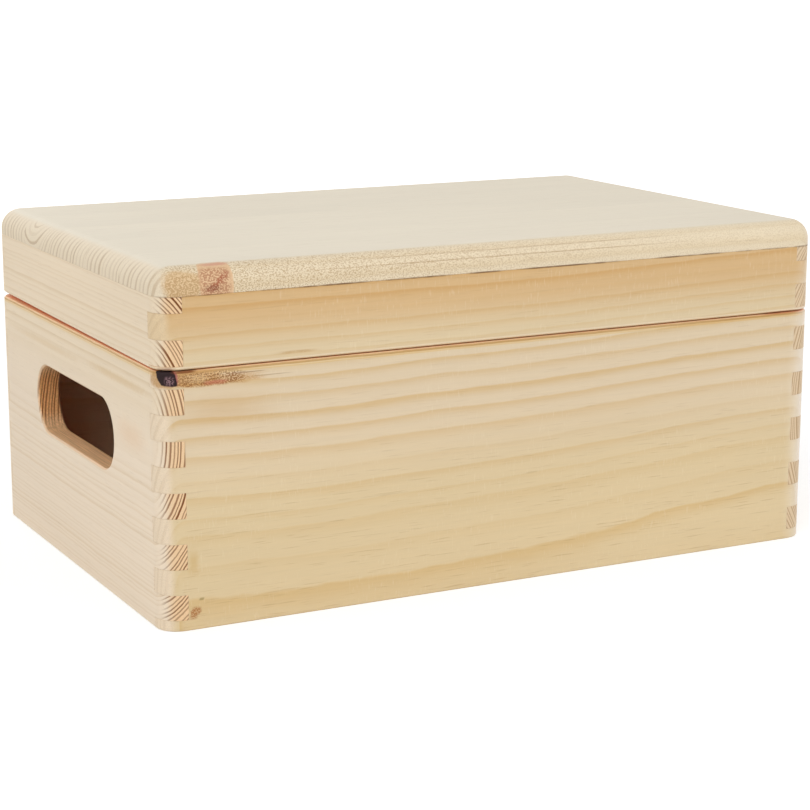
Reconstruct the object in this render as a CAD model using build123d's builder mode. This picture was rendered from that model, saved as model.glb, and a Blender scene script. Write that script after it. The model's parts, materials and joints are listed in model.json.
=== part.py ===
from build123d import *
from math import atan2, ceil, cos, sin
import os

# Pine box with a hinged lid. The four boards are finger jointed into one closed
# carcass, the top is glued on, and a saw cut then parts the lid from the body.
# Millimetres, +Z up, front at -Y, origin at the centre of the underside.

# Carcass
box_length = 300.0
box_width = 200.0
board_thickness = 10.0
carcass_height = 130.5  # boards before the lid is sawn off
corner_radius = 9.0
finger_height = 10.0
bottom_finger = 4.3  # what is left of the lowest finger of the front and back

# Saw cut and seam
body_height = 101.0
saw_kerf = 2.7
front_gap = 0.4  # between the closed rims at the front face
rim_ease = 0.6
foot_ease = 0.4

# Top, glued up from staves that run the length of the box
top_thickness = 11.0
top_edge_radius = 8.5
stave_count = 5

# Plywood bottom in a rebate routed from below
bottom_thickness = 4.0
rebate_depth = 5.0  # into each board
rebate_corner_radius = 6.0
bottom_clearance = 0.15

# Hand holes in the two ends
handle_length = 96.0
handle_height = 29.0
handle_corner_radius = 14.0
handle_centre_height = 65.0
handle_ease = 0.8

# Butt hinges, screwed flat on the two rims
hinge_length = 30.0
hinge_inset = 60.0  # of the hinge's middle from the end of the box
leaf_thickness = 0.8  # the screw heads' countersinks go right through it
leaf_reach = 8.5  # from the back face over the rim
leaf_gap = 0.4  # between the closed leaves
leaf_setback = 0.1  # of the plate's edge from the back face
knuckle_count = 3
knuckle_gap = 0.15
knuckle_standoff = 0.15  # of the barrel from the back face
pin_diameter = 1.8
pin_clearance = 0.05
pin_end = 0.4  # stands out past the end knuckles

# Countersunk wood screws
screw_diameter = 2.0
screw_length = 9.0
screw_spacing = 18.0
screw_clearance = 0.05
pilot_spare = 0.4  # depth of the pilot hole past the screw's end

# Least flat left beside a rounded edge
edge_margin = 0.5

# Worked out from the sizes above
back_gap = 2 * leaf_thickness + leaf_gap
lid_drop = saw_kerf - (front_gap + back_gap) / 2
lid_frame_top = carcass_height - lid_drop
corner_round = min(corner_radius, board_thickness - edge_margin)
top_round = min(top_edge_radius, corner_round - edge_margin, top_thickness - edge_margin)
handle_round = min(handle_corner_radius, handle_height / 2 - edge_margin)
stave_width = box_width / stave_count
rebate_size = (
    box_length - 2 * board_thickness + 2 * rebate_depth,
    box_width - 2 * board_thickness + 2 * rebate_depth,
)
bottom_size = (rebate_size[0] - 2 * bottom_clearance, rebate_size[1] - 2 * bottom_clearance)
barrel_radius = pin_diameter / 2 + pin_clearance + leaf_thickness
pin_y = box_width / 2 + knuckle_standoff + barrel_radius
pin_z = body_height + back_gap / 2
knuckle_pitch = hinge_length / knuckle_count
screw_y = (box_width - board_thickness) / 2
screw_head_diameter = screw_diameter + 2 * leaf_thickness  # a 90 degree countersink as deep as the leaf

# The sawn underside of the lid: almost shut at the front, clear of the hinge leaves at the back
seam_slope = atan2(back_gap - front_gap, box_width - board_thickness)
lid_cut = Plane(
    origin=(0, -box_width / 2, body_height + front_gap),
    x_dir=(1, 0, 0),
    z_dir=(0, -sin(seam_slope), cos(seam_slope)),
)

# Fingers alternate up the whole carcass, and the lid's come down with the lid
finger_rows = ceil(carcass_height / (2 * finger_height))
side_finger_feet = [bottom_finger + 2 * finger_height * row for row in range(finger_rows)]
front_finger_feet = [bottom_finger + finger_height * (2 * row - 1) for row in range(finger_rows + 1)]

hinge_x = box_length / 2 - hinge_inset
screw_places = [
    (hinge * hinge_x + end * screw_spacing / 2, screw_y) for hinge in (-1, 1) for end in (-1, 1)
]

os.makedirs("parts", exist_ok=True)


def corner_places(x_signs, y_signs, feet):
    """Places on the carcass corners named by the signs, one above another at the given heights."""
    corners = [(x * box_length / 2, y * box_width / 2) for x in x_signs for y in y_signs]
    return [(*corner, foot) for corner in corners for foot in feet]


def cut_sockets(places):
    """Cuts the sockets that take the other boards' fingers, with their feet at these places."""
    with Locations(places):
        Box(
            2 * board_thickness,
            2 * board_thickness,
            finger_height,
            align=(Align.CENTER, Align.CENTER, Align.MIN),
            mode=Mode.SUBTRACT,
        )


# Outside of the body, with its rim and foot edges eased; the boards are cut to it
with BuildPart() as body_outline:
    with BuildSketch():
        RectangleRounded(box_length, box_width, corner_round)
    extrude(amount=body_height)
    chamfer(faces().sort_by(Axis.Z)[-1].edges(), length=rim_ease)
    chamfer(faces().sort_by(Axis.Z)[0].edges(), length=foot_ease)

# Outside of the lid's frame, with its sawn rim eased
with BuildPart() as lid_outline:
    with BuildSketch(Plane.XY.offset(body_height)):
        RectangleRounded(box_length, box_width, corner_round)
    extrude(amount=lid_frame_top - body_height)
    split(bisect_by=lid_cut, keep=Keep.TOP)
    chamfer(faces().sort_by(Axis.Z)[0].edges(), length=rim_ease)

# Outside of the top, rounded over all the way round
with BuildPart() as top_outline:
    with BuildSketch(Plane.XY.offset(lid_frame_top)):
        RectangleRounded(box_length, box_width, corner_round)
    extrude(amount=top_thickness)
    fillet(faces().sort_by(Axis.Z)[-1].edges(), radius=top_round)


# Front and back boards of the body, with sockets for the side boards' fingers
for name, side in (("front_board", -1), ("back_board", 1)):
    with BuildPart() as long_board:
        with BuildSketch():
            with Locations((0, side * (box_width - board_thickness) / 2)):
                Rectangle(box_length, board_thickness)
        extrude(amount=body_height)
        cut_sockets(corner_places((-1, 1), (side,), side_finger_feet))
        with BuildSketch():
            RectangleRounded(*rebate_size, rebate_corner_radius)
        extrude(amount=bottom_thickness, mode=Mode.SUBTRACT)
        add(body_outline.part, mode=Mode.INTERSECT)
        if name == "back_board":
            with Locations([(x, y, body_height) for x, y in screw_places]):
                Hole(
                    screw_diameter / 2 + screw_clearance,
                    depth=screw_length - leaf_thickness + pilot_spare,
                )
    long_board.part.label = name
    export_step(long_board.part, f"parts/{name}.step")

# Side boards of the body, each with its hand hole
for name, side in (("left_board", -1), ("right_board", 1)):
    with BuildPart() as side_board:
        with BuildSketch():
            with Locations((side * (box_length - board_thickness) / 2, 0)):
                Rectangle(board_thickness, box_width)
        extrude(amount=body_height)
        cut_sockets(corner_places((side,), (-1, 1), front_finger_feet))
        with BuildSketch():
            RectangleRounded(*rebate_size, rebate_corner_radius)
        extrude(amount=bottom_thickness, mode=Mode.SUBTRACT)
        add(body_outline.part, mode=Mode.INTERSECT)
        with BuildSketch(Plane.YZ.offset(side * (box_length / 2 - board_thickness))):
            with Locations((0, handle_centre_height)):
                RectangleRounded(handle_length, handle_height, handle_round)
        extrude(amount=side * board_thickness, mode=Mode.SUBTRACT)
        broad_faces = faces().filter_by(Axis.X).sort_by(SortBy.AREA)[-2:]
        hole_edges = [edge for face in broad_faces for wire in face.inner_wires() for edge in wire.edges()]
        chamfer(hole_edges, length=handle_ease)
    side_board.part.label = name
    export_step(side_board.part, f"parts/{name}.step")

# Bottom, flush with the foot of the boards
with BuildPart() as bottom_panel:
    with BuildSketch():
        RectangleRounded(*bottom_size, rebate_corner_radius - bottom_clearance)
    extrude(amount=bottom_thickness)
bottom_panel.part.label = "bottom_panel"
export_step(bottom_panel.part, "parts/bottom_panel.step")


# Front and back boards of the lid
for name, side in (("lid_front_board", -1), ("lid_back_board", 1)):
    with BuildPart() as lid_long_board:
        with BuildSketch(Plane.XY.offset(body_height)):
            with Locations((0, side * (box_width - board_thickness) / 2)):
                Rectangle(box_length, board_thickness)
        extrude(amount=lid_frame_top - body_height)
        cut_sockets(corner_places((-1, 1), (side,), [foot - lid_drop for foot in side_finger_feet]))
        add(lid_outline.part, mode=Mode.INTERSECT)
        if name == "lid_back_board":
            with Locations(Plane.XY.offset(body_height)):
                with Locations(screw_places):
                    Cylinder(
                        screw_diameter / 2 + screw_clearance,
                        back_gap + screw_length - leaf_thickness + pilot_spare,
                        align=(Align.CENTER, Align.CENTER, Align.MIN),
                        mode=Mode.SUBTRACT,
                    )
    lid_long_board.part.label = name
    export_step(lid_long_board.part, f"parts/{name}.step")

# Side boards of the lid
for name, side in (("lid_left_board", -1), ("lid_right_board", 1)):
    with BuildPart() as lid_side_board:
        with BuildSketch(Plane.XY.offset(body_height)):
            with Locations((side * (box_length - board_thickness) / 2, 0)):
                Rectangle(board_thickness, box_width)
        extrude(amount=lid_frame_top - body_height)
        cut_sockets(corner_places((side,), (-1, 1), [foot - lid_drop for foot in front_finger_feet]))
        add(lid_outline.part, mode=Mode.INTERSECT)
    lid_side_board.part.label = name
    export_step(lid_side_board.part, f"parts/{name}.step")

# Staves of the top, numbered from the front
for number in range(stave_count):
    with BuildPart() as lid_stave:
        with BuildSketch(Plane.XY.offset(lid_frame_top)):
            with Locations((0, (number + 0.5) * stave_width - box_width / 2)):
                Rectangle(box_length, stave_width)
        extrude(amount=top_thickness)
        add(top_outline.part, mode=Mode.INTERSECT)
    lid_stave.part.label = f"lid_stave_{number + 1}"
    export_step(lid_stave.part, f"parts/lid_stave_{number + 1}.step")


# Hinges: flat leaves on the rims, barrels behind the back face, a pin through both
for name, centre_x in (("left_hinge", -hinge_x), ("right_hinge", hinge_x)):
    for leaf_name, plate_foot, up, first_knuckle in (
        ("body_leaf", body_height, 1, 0),
        ("lid_leaf", pin_z + leaf_gap / 2, -1, 1),
    ):
        own_knuckles = [
            centre_x - hinge_length / 2 + (knuckle + 0.5) * knuckle_pitch
            for knuckle in range(first_knuckle, knuckle_count, 2)
        ]
        inner_face = plate_foot + leaf_thickness if up > 0 else plate_foot
        with BuildPart() as leaf:
            with BuildSketch(Plane.XY.offset(plate_foot)):
                with Locations((centre_x, box_width / 2 - leaf_reach)):
                    Rectangle(hinge_length, leaf_reach - leaf_setback, align=(Align.CENTER, Align.MIN))
                with Locations([(x, box_width / 2 - leaf_setback) for x in own_knuckles]):
                    Rectangle(
                        knuckle_pitch - knuckle_gap,
                        pin_y - box_width / 2 + leaf_setback,
                        align=(Align.CENTER, Align.MIN),
                    )
            extrude(amount=leaf_thickness)
            with Locations([(x, pin_y, pin_z) for x in own_knuckles]):
                Cylinder(barrel_radius, knuckle_pitch - knuckle_gap, rotation=(0, 90, 0))
            with Locations((centre_x, pin_y, pin_z)):
                Cylinder(
                    pin_diameter / 2 + pin_clearance,
                    hinge_length,
                    rotation=(0, 90, 0),
                    mode=Mode.SUBTRACT,
                )
            with Locations(Plane(origin=(centre_x, screw_y, inner_face), z_dir=(0, 0, up))):
                with GridLocations(screw_spacing, 0, 2, 1):
                    Cone(
                        screw_diameter / 2 + screw_clearance,
                        screw_head_diameter / 2 + screw_clearance,
                        leaf_thickness,
                        align=(Align.CENTER, Align.CENTER, Align.MAX),
                        mode=Mode.SUBTRACT,
                    )
        leaf.part.label = f"{name}_{leaf_name}"
        export_step(leaf.part, f"parts/{name}_{leaf_name}.step")

    with BuildPart() as pin:
        with Locations((centre_x, pin_y, pin_z)):
            Cylinder(pin_diameter / 2, hinge_length + 2 * pin_end, rotation=(0, 90, 0))
    pin.part.label = f"{name}_pin"
    export_step(pin.part, f"parts/{name}_pin.step")


# One countersunk screw, head up at the origin
with BuildPart() as screw:
    with BuildSketch(Plane.XZ):
        with BuildLine():
            Polyline(
                (0, 0),
                (screw_head_diameter / 2, 0),
                (screw_diameter / 2, -leaf_thickness),
                (screw_diameter / 2, -screw_length),
                (0, -screw_length),
                close=True,
            )
        make_face()
    revolve(axis=Axis.Z)

# The screws of the body leaves point down, those of the lid leaves point up
for name, head_height, turn in (
    ("body_hinge_screws", body_height + leaf_thickness, 0),
    ("lid_hinge_screws", pin_z + leaf_gap / 2, 180),
):
    with BuildPart() as screws:
        with Locations([Location((x, y, head_height), (turn, 0, 0)) for x, y in screw_places]):
            add(screw.part)
    screws.part.label = name
    export_step(screws.part, f"parts/{name}.step")
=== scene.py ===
import json
import logging
import math
from dataclasses import dataclass, field, replace
from enum import Enum
from functools import reduce
from typing import Any, Callable

import bpy
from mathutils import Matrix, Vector


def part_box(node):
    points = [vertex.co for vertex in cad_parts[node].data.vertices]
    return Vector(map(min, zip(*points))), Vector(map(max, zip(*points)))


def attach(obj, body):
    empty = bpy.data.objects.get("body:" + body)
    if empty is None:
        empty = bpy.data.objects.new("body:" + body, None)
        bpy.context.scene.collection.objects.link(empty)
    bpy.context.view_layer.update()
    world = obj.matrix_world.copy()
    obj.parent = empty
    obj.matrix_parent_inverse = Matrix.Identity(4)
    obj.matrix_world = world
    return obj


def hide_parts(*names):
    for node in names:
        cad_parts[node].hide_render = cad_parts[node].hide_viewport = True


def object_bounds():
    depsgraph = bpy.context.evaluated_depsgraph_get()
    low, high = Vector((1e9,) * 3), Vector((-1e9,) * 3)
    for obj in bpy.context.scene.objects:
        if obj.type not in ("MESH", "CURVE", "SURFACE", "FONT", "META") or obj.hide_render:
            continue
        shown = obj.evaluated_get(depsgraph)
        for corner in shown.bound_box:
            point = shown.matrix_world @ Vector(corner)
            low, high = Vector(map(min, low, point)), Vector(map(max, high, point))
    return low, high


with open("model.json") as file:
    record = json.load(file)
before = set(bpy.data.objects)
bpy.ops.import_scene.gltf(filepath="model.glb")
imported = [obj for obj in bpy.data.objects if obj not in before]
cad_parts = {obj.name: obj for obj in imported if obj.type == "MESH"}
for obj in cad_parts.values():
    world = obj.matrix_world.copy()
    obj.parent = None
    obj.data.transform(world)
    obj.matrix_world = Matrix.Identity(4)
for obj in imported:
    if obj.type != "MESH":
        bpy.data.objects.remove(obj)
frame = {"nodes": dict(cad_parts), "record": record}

# The box's size before anything is dressed
CAD_LOW, CAD_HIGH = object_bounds()

MM = 0.001
LOG = logging.getLogger("pine_box")

Socket = bpy.types.NodeSocket
Colour = tuple[float, float, float]
Place = tuple[float, float, float]


def srgb(code: str) -> Colour:
    """Turns a colour written as #rrggbb into linear values."""
    channels = (int(code[place : place + 2], 16) / 255 for place in (1, 3, 5))
    return tuple(c / 12.92 if c <= 0.04045 else ((c + 0.055) / 1.055) ** 2.4 for c in channels)


def in_metres(lengths: tuple[float, ...]) -> tuple[float, ...]:
    """Turns millimetres into metres."""
    return tuple(length * MM for length in lengths)


class GrainAxis(Enum):
    """The way that a board's grain runs, as the unit vector along it."""

    ALONG_BOX = (1.0, 0.0, 0.0)
    ACROSS_BOX = (0.0, 1.0, 0.0)


class Body(Enum):
    """The two bodies that the hinge joins."""

    BOX = "box"
    LID = "lid"


class Slot(Enum):
    """The record's material slots."""

    PINE = "pine"
    PLYWOOD = "plywood"
    HINGE = "hinge_brass"
    SCREW = "screw_brass"


class Side(Enum):
    """The side that a hinge stands on."""

    LEFT = "left"
    RIGHT = "right"


class Part(Enum):
    """What is picked in edit mode, as the name of its select mode."""

    FACES = "FACE"
    EDGES = "EDGE"


class Graph:
    """A node tree under construction, with a short call for each kind of node."""

    def __init__(self, tree: bpy.types.NodeTree) -> None:
        """Starts on an emptied tree."""
        self.tree = tree
        self.tree.nodes.clear()

    def feed(self, target: Socket, value: Any) -> None:
        """Gives an input its value.

        Args:
            target: The input.
            value: A socket to link to it, or a number, vector or colour to set on it.
        """
        if isinstance(value, bpy.types.NodeSocket):
            self.tree.links.new(value, target)
        elif isinstance(value, tuple) and target.type == "RGBA":
            target.default_value = (*value, 1.0)
        else:
            target.default_value = value

    def node(self, kind: str, *values: Any, inputs: dict | None = None, **settings: Any) -> bpy.types.Node:
        """Adds a node, sets its properties and feeds its inputs.

        Args:
            kind: The node's type name.
            values: Values for its first inputs, in order.
            inputs: Values for its inputs by name or number.
            settings: Its properties by name.

        Returns:
            The new node.
        """
        made = self.tree.nodes.new(kind)
        for name, value in settings.items():
            setattr(made, name, value)
        for key, value in {**dict(enumerate(values)), **(inputs or {})}.items():
            self.feed(made.inputs[key], value)
        return made

    def maths(self, operation: str, *values: Any, clamp: bool = False) -> Socket:
        """Adds a Math node and gives its result."""
        return self.node("ShaderNodeMath", *values, operation=operation, use_clamp=clamp).outputs[0]

    def plus(self, first: Any, second: Any) -> Socket:
        """Adds two numbers."""
        return self.maths("ADD", first, second)

    def minus(self, first: Any, second: Any) -> Socket:
        """Takes the second number from the first."""
        return self.maths("SUBTRACT", first, second)

    def times(self, *values: Any) -> Socket:
        """Multiplies numbers, two or more."""
        return reduce(lambda first, second: self.maths("MULTIPLY", first, second), values)

    def larger(self, *values: Any) -> Socket:
        """Gives the largest of two or more numbers."""
        return reduce(lambda first, second: self.maths("MAXIMUM", first, second), values)

    def linear(self, value: Any, slope: Any, start: Any) -> Socket:
        """Multiplies a number by a slope and adds a start."""
        return self.maths("MULTIPLY_ADD", value, slope, start)

    def unsigned(self, value: Any) -> Socket:
        """Drops a number's sign."""
        return self.maths("ABSOLUTE", value)

    def vector(self, operation: str, *values: Any) -> Socket:
        """Adds a Vector Math node and gives its result, a number where the operation gives one."""
        made = self.node("ShaderNodeVectorMath", *values, operation=operation)
        return made.outputs["Value" if operation in ("DOT_PRODUCT", "LENGTH") else "Vector"]

    def parts(self, place: Socket) -> tuple[Socket, Socket, Socket]:
        """Splits coordinates into their three numbers."""
        return tuple(self.node("ShaderNodeSeparateXYZ", place).outputs)

    def join(self, x: Any, y: Any, z: Any) -> Socket:
        """Joins three numbers into coordinates."""
        return self.node("ShaderNodeCombineXYZ", x, y, z).outputs[0]

    def ramp(self, value: Any, low: Any, high: Any, bottom: Any = 0.0, top: Any = 1.0) -> Socket:
        """Eases from bottom to top while a value goes from low to high."""
        made = self.node("ShaderNodeMapRange", value, low, high, bottom, top, interpolation_type="SMOOTHSTEP")
        return made.outputs[0]

    def fall(self, value: Any, low: Any, high: Any) -> Socket:
        """Eases from 1 to 0 while a value goes from low to high."""
        return self.ramp(value, low, high, 1.0, 0.0)

    def band(self, value: Any, rise: tuple[float, float], fall: tuple[float, float]) -> Socket:
        """Masks what lies after a rise and before a fall, each given from start to end in millimetres."""
        return self.times(self.ramp(value, *in_metres(rise)), self.fall(value, *in_metres(fall)))

    def mix(self, share: Any, first: Any, second: Any, blend: str = "MIX") -> Socket:
        """Mixes a share of the second colour into the first."""
        inputs = {0: share, 6: first, 7: second}
        return self.node("ShaderNodeMix", inputs=inputs, data_type="RGBA", blend_type=blend).outputs[2]

    def tint(self, share: Any, colour: Any, tint: Any) -> Socket:
        """Multiplies a colour by a tint or a number, as far as the share says."""
        return self.mix(share, colour, tint, "MULTIPLY")

    def noise(self, place: Any, stretch: Place, detail: float = 2.0, roughness: float = 0.5) -> Socket:
        """Adds noise whose blotches have a length of their own each way.

        Args:
            place: The coordinates.
            stretch: Blotches to the metre along each axis.
            detail: The noise's detail.
            roughness: The noise's roughness.

        Returns:
            The noise from 0 to 1, most of it near a half.
        """
        scaled = self.vector("MULTIPLY", place, stretch)
        inputs = {"Vector": scaled, "Scale": 1.0, "Detail": detail, "Roughness": roughness}
        return self.node("ShaderNodeTexNoise", inputs=inputs, noise_dimensions="3D").outputs["Fac"]

    def is_ray(self, *kinds: str) -> Socket:
        """Tells whether the ray that meets the surface is of one of some kinds."""
        rays = self.node("ShaderNodeLightPath").outputs
        return self.larger(*(rays[f"Is {kind} Ray"] for kind in kinds))


class NodeGroup:
    """A shader node group with named inputs and outputs, built once and placed in many materials."""

    name = "group"
    vectors: tuple[str, ...] = ("Place",)
    numbers: tuple[str, ...] = ()
    outputs: tuple[str, ...] = ("Mask",)

    def __init__(self) -> None:
        """Makes the sockets and calls draw for the nodes between them."""
        self.tree = bpy.data.node_groups.new(self.name, "ShaderNodeTree")
        inputs = {label: "NodeSocketVector" for label in self.vectors}
        inputs |= {label: "NodeSocketFloat" for label in self.numbers}
        for label, kind in inputs.items():
            self.tree.interface.new_socket(label, in_out="INPUT", socket_type=kind)
        for label in self.outputs:
            self.tree.interface.new_socket(label, in_out="OUTPUT", socket_type="NodeSocketFloat")
        graph = Graph(self.tree)
        given = graph.node("NodeGroupInput").outputs
        results = self.draw(graph, {label: given[label] for label in inputs})
        graph.node("NodeGroupOutput", inputs=results)

    def draw(self, graph: Graph, given: dict[str, Socket]) -> dict[str, Socket]:
        """Builds the nodes between the sockets.

        Args:
            graph: The group's graph.
            given: Its inputs by name.

        Returns:
            Its outputs by name.
        """
        raise NotImplementedError

    def place(self, graph: Graph, **values: Any) -> dict[str, Socket]:
        """Puts the group into a material, with inputs by name and _ for a space, and gives its outputs."""
        inputs = {label.replace("_", " "): value for label, value in values.items()}
        return dict(graph.node("ShaderNodeGroup", inputs=inputs, node_tree=self.tree).outputs.items())


class LogRadius(NodeGroup):
    """How far a point lies from the pith of its log, whose bends and taper move the rings."""

    name = "log radius"
    vectors = ("Log Place",)
    numbers = ("Seed", "Wander", "Sag Centre", "Sag Reach", "Sag Depth", "Taper Start", "Taper End", "Taper")
    outputs = ("Radius",)

    def draw(self, graph: Graph, given: dict[str, Socket]) -> dict[str, Socket]:
        """Bends the log, measures the distance to its pith and lets it wander.

        Args:
            graph: The group's graph.
            given: Its inputs by name.

        Returns:
            Its outputs by name.
        """
        along, across, up = graph.parts(given["Log Place"])
        from_sag = graph.unsigned(graph.minus(along, given["Sag Centre"]))
        sag = graph.ramp(from_sag, 0.0, given["Sag Reach"], given["Sag Depth"], 0.0)
        shifted = graph.join(graph.plus(along, given["Seed"]), across, up)
        slow = graph.minus(graph.noise(shifted, (5.0, 12.0, 12.0), detail=1.0), 0.5)
        quick = graph.minus(graph.noise(shifted, (45.0, 170.0, 170.0), detail=3.0), 0.5)
        stray = graph.linear(quick, 1.3 * MM, graph.times(slow, given["Wander"]))
        bent = graph.join(0.0, graph.linear(stray, 0.2, across), graph.plus(up, graph.plus(sag, stray)))
        taper = graph.ramp(along, given["Taper Start"], given["Taper End"], 0.0, given["Taper"])
        near_pith = graph.ramp(up, 0.0, 55 * MM, 0.45, 1.15)
        return {"Radius": graph.linear(taper, near_pith, graph.vector("LENGTH", bent))}


class EvenSeasons(NodeGroup):
    """Counts the rings of a log whose years were much alike."""

    name = "even seasons"
    vectors = ()
    numbers = ("Radius", "Ring Width", "Seed")
    outputs = ("Count",)

    def draw(self, graph: Graph, given: dict[str, Socket]) -> dict[str, Socket]:
        """Divides the radius by the ring width and varies the years a little.

        Args:
            graph: The group's graph.
            given: Its inputs by name.

        Returns:
            Its outputs by name.
        """
        count = graph.maths("DIVIDE", given["Radius"], given["Ring Width"])
        inputs = {"W": graph.linear(count, 0.41, given["Seed"]), "Scale": 1.0, "Detail": 1.0}
        seasons = graph.node("ShaderNodeTexNoise", inputs=inputs, noise_dimensions="1D")
        return {"Count": graph.linear(seasons.outputs["Fac"], 1.1, count)}


class GrowthRing(NodeGroup):
    """One year's growth: pale early wood that darkens outwards and ends in a sharp line."""

    name = "growth ring"
    vectors = ()
    numbers = ("Count", "Seed")
    outputs = ("Late Wood", "Ring Line", "Chance")

    def draw(self, graph: Graph, given: dict[str, Socket]) -> dict[str, Socket]:
        """Shades the share of the year that has passed.

        Args:
            graph: The group's graph.
            given: Its inputs by name.

        Returns:
            Its outputs by name.
        """
        share = graph.maths("FRACT", given["Count"])
        year = graph.plus(graph.maths("FLOOR", given["Count"]), given["Seed"])
        chance = graph.node("ShaderNodeTexWhiteNoise", inputs={"W": year}, noise_dimensions="1D")
        rise = graph.maths("POWER", graph.ramp(share, 0.15, 0.92), 2.0)
        late = graph.times(rise, graph.fall(share, 0.88, 1.0))
        line = graph.times(graph.ramp(share, 0.46, 0.68), graph.fall(share, 0.90, 0.99))
        return {"Late Wood": late, "Ring Line": line, "Chance": chance.outputs["Value"]}


class WoodFibre(NodeGroup):
    """Fine fibres, resin streaks, faint flecks across the grain, cloudy tone and open pores."""

    name = "wood fibre"
    vectors = ("Log Place",)
    numbers = ("Seed",)
    outputs = ("Fibre", "Streak", "Fleck", "Blotch", "Pore")

    def draw(self, graph: Graph, given: dict[str, Socket]) -> dict[str, Socket]:
        """Stretches noise along the grain, once for each kind of mark.

        Args:
            graph: The group's graph.
            given: Its inputs by name.

        Returns:
            Its outputs by name.
        """
        along, across, up = graph.parts(given["Log Place"])
        place = graph.join(graph.plus(along, given["Seed"]), across, up)
        streak = graph.noise(place, (75.0, 2100.0, 2100.0), detail=1.0)
        fleck = graph.noise(place, (1700.0, 230.0, 230.0), detail=1.0)
        patch = graph.noise(place, (34.0, 34.0, 34.0), detail=1.0)
        pore = graph.noise(place, (1500.0, 2300.0, 2300.0), detail=1.0)
        return {
            "Fibre": graph.noise(place, (38.0, 1300.0, 1300.0), detail=3.0, roughness=0.6),
            "Streak": graph.ramp(streak, 0.63, 0.76),
            "Fleck": graph.times(graph.ramp(fleck, 0.58, 0.74), graph.ramp(patch, 0.34, 0.60)),
            "Blotch": graph.noise(place, (6.0, 24.0, 24.0)),
            "Pore": graph.ramp(pore, 0.45, 0.62),
        }


class WoodMark(NodeGroup):
    """Where a knot, a resin streak, a stain, a painted highlight or a painted glow lies: a rounded block with
    a ragged, fibrous edge.
    """

    name = "wood mark"
    vectors = ("Place", "Centre", "Size")
    numbers = ("Ragged", "Softness", "Lean", "Fibrous", "Dotted", "Squareness")

    def draw(self, graph: Graph, given: dict[str, Socket]) -> dict[str, Socket]:
        """Measures the distance from the mark's middle, roughens it and fades it out.

        Args:
            graph: The group's graph.
            given: Its inputs by name.

        Returns:
            Its outputs by name.
        """
        place, squareness = given["Place"], given["Squareness"]
        x, y, z = graph.parts(graph.vector("SUBTRACT", place, given["Centre"]))
        leaning = graph.join(graph.minus(x, graph.times(z, given["Lean"])), y, z)
        spans = graph.parts(graph.vector("ABSOLUTE", graph.vector("DIVIDE", leaning, given["Size"])))
        total = reduce(graph.plus, [graph.maths("POWER", span, squareness) for span in spans])
        distance = graph.maths("POWER", total, graph.maths("DIVIDE", 1.0, squareness))
        uneven = graph.minus(graph.noise(place, (190.0, 620.0, 620.0), detail=3.0), 0.5)
        distance = graph.linear(uneven, given["Ragged"], distance)
        mask = graph.fall(distance, graph.minus(1.0, given["Softness"]), 1.0)
        fibres = graph.ramp(graph.noise(place, (130.0, 1400.0, 1400.0), detail=3.0), 0.42, 0.64)
        specks = graph.ramp(graph.noise(place, (1500.0, 2300.0, 2300.0), detail=1.0), 0.5, 0.66)
        clean = graph.times(graph.larger(fibres, specks), given["Fibrous"])
        dots = graph.ramp(graph.noise(place, (1500.0, 1900.0, 1900.0), detail=0.5), 0.46, 0.60)
        between = graph.times(dots, given["Dotted"])
        return {"Mask": graph.times(mask, graph.minus(1.0, clean), graph.minus(1.0, between))}


class GlueLine(NodeGroup):
    """The thin dark line, broken here and there, where the top is glued to the lid's frame."""

    name = "glue line"
    numbers = ("Height", "Thickness")

    def draw(self, graph: Graph, given: dict[str, Socket]) -> dict[str, Socket]:
        """Finds the height of the joint and breaks the line along it.

        Args:
            graph: The group's graph.
            given: Its inputs by name.

        Returns:
            Its outputs by name.
        """
        off = graph.unsigned(graph.minus(graph.parts(given["Place"])[2], given["Height"]))
        near = graph.fall(off, graph.times(given["Thickness"], 0.4), given["Thickness"])
        breaks = graph.noise(given["Place"], (70.0, 70.0, 20.0), detail=3.0)
        return {"Mask": graph.times(near, graph.ramp(breaks, 0.34, 0.6))}


class BrushedMetal(NodeGroup):
    """Fine lines of a rolled sheet, with cloudy tarnish."""

    name = "brushed metal"
    numbers = ("Scale",)
    outputs = ("Brush", "Tarnish")

    def draw(self, graph: Graph, given: dict[str, Socket]) -> dict[str, Socket]:
        """Stretches fine noise one way and adds slow clouds.

        Args:
            graph: The group's graph.
            given: Its inputs by name.

        Returns:
            Its outputs by name.
        """
        place = graph.vector("MULTIPLY", given["Place"], given["Scale"])
        brush = graph.noise(place, (160.0, 7000.0, 7000.0), detail=3.0)
        clouds = graph.noise(place, (260.0, 260.0, 260.0), detail=3.0, roughness=0.6)
        return {"Brush": brush, "Tarnish": graph.ramp(clouds, 0.42, 0.7)}


@dataclass(frozen=True)
class Ring:
    """A growth ring counted on the board: its outer radius in millimetres, and how dark its late wood is."""

    radius: float
    strength: float


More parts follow.
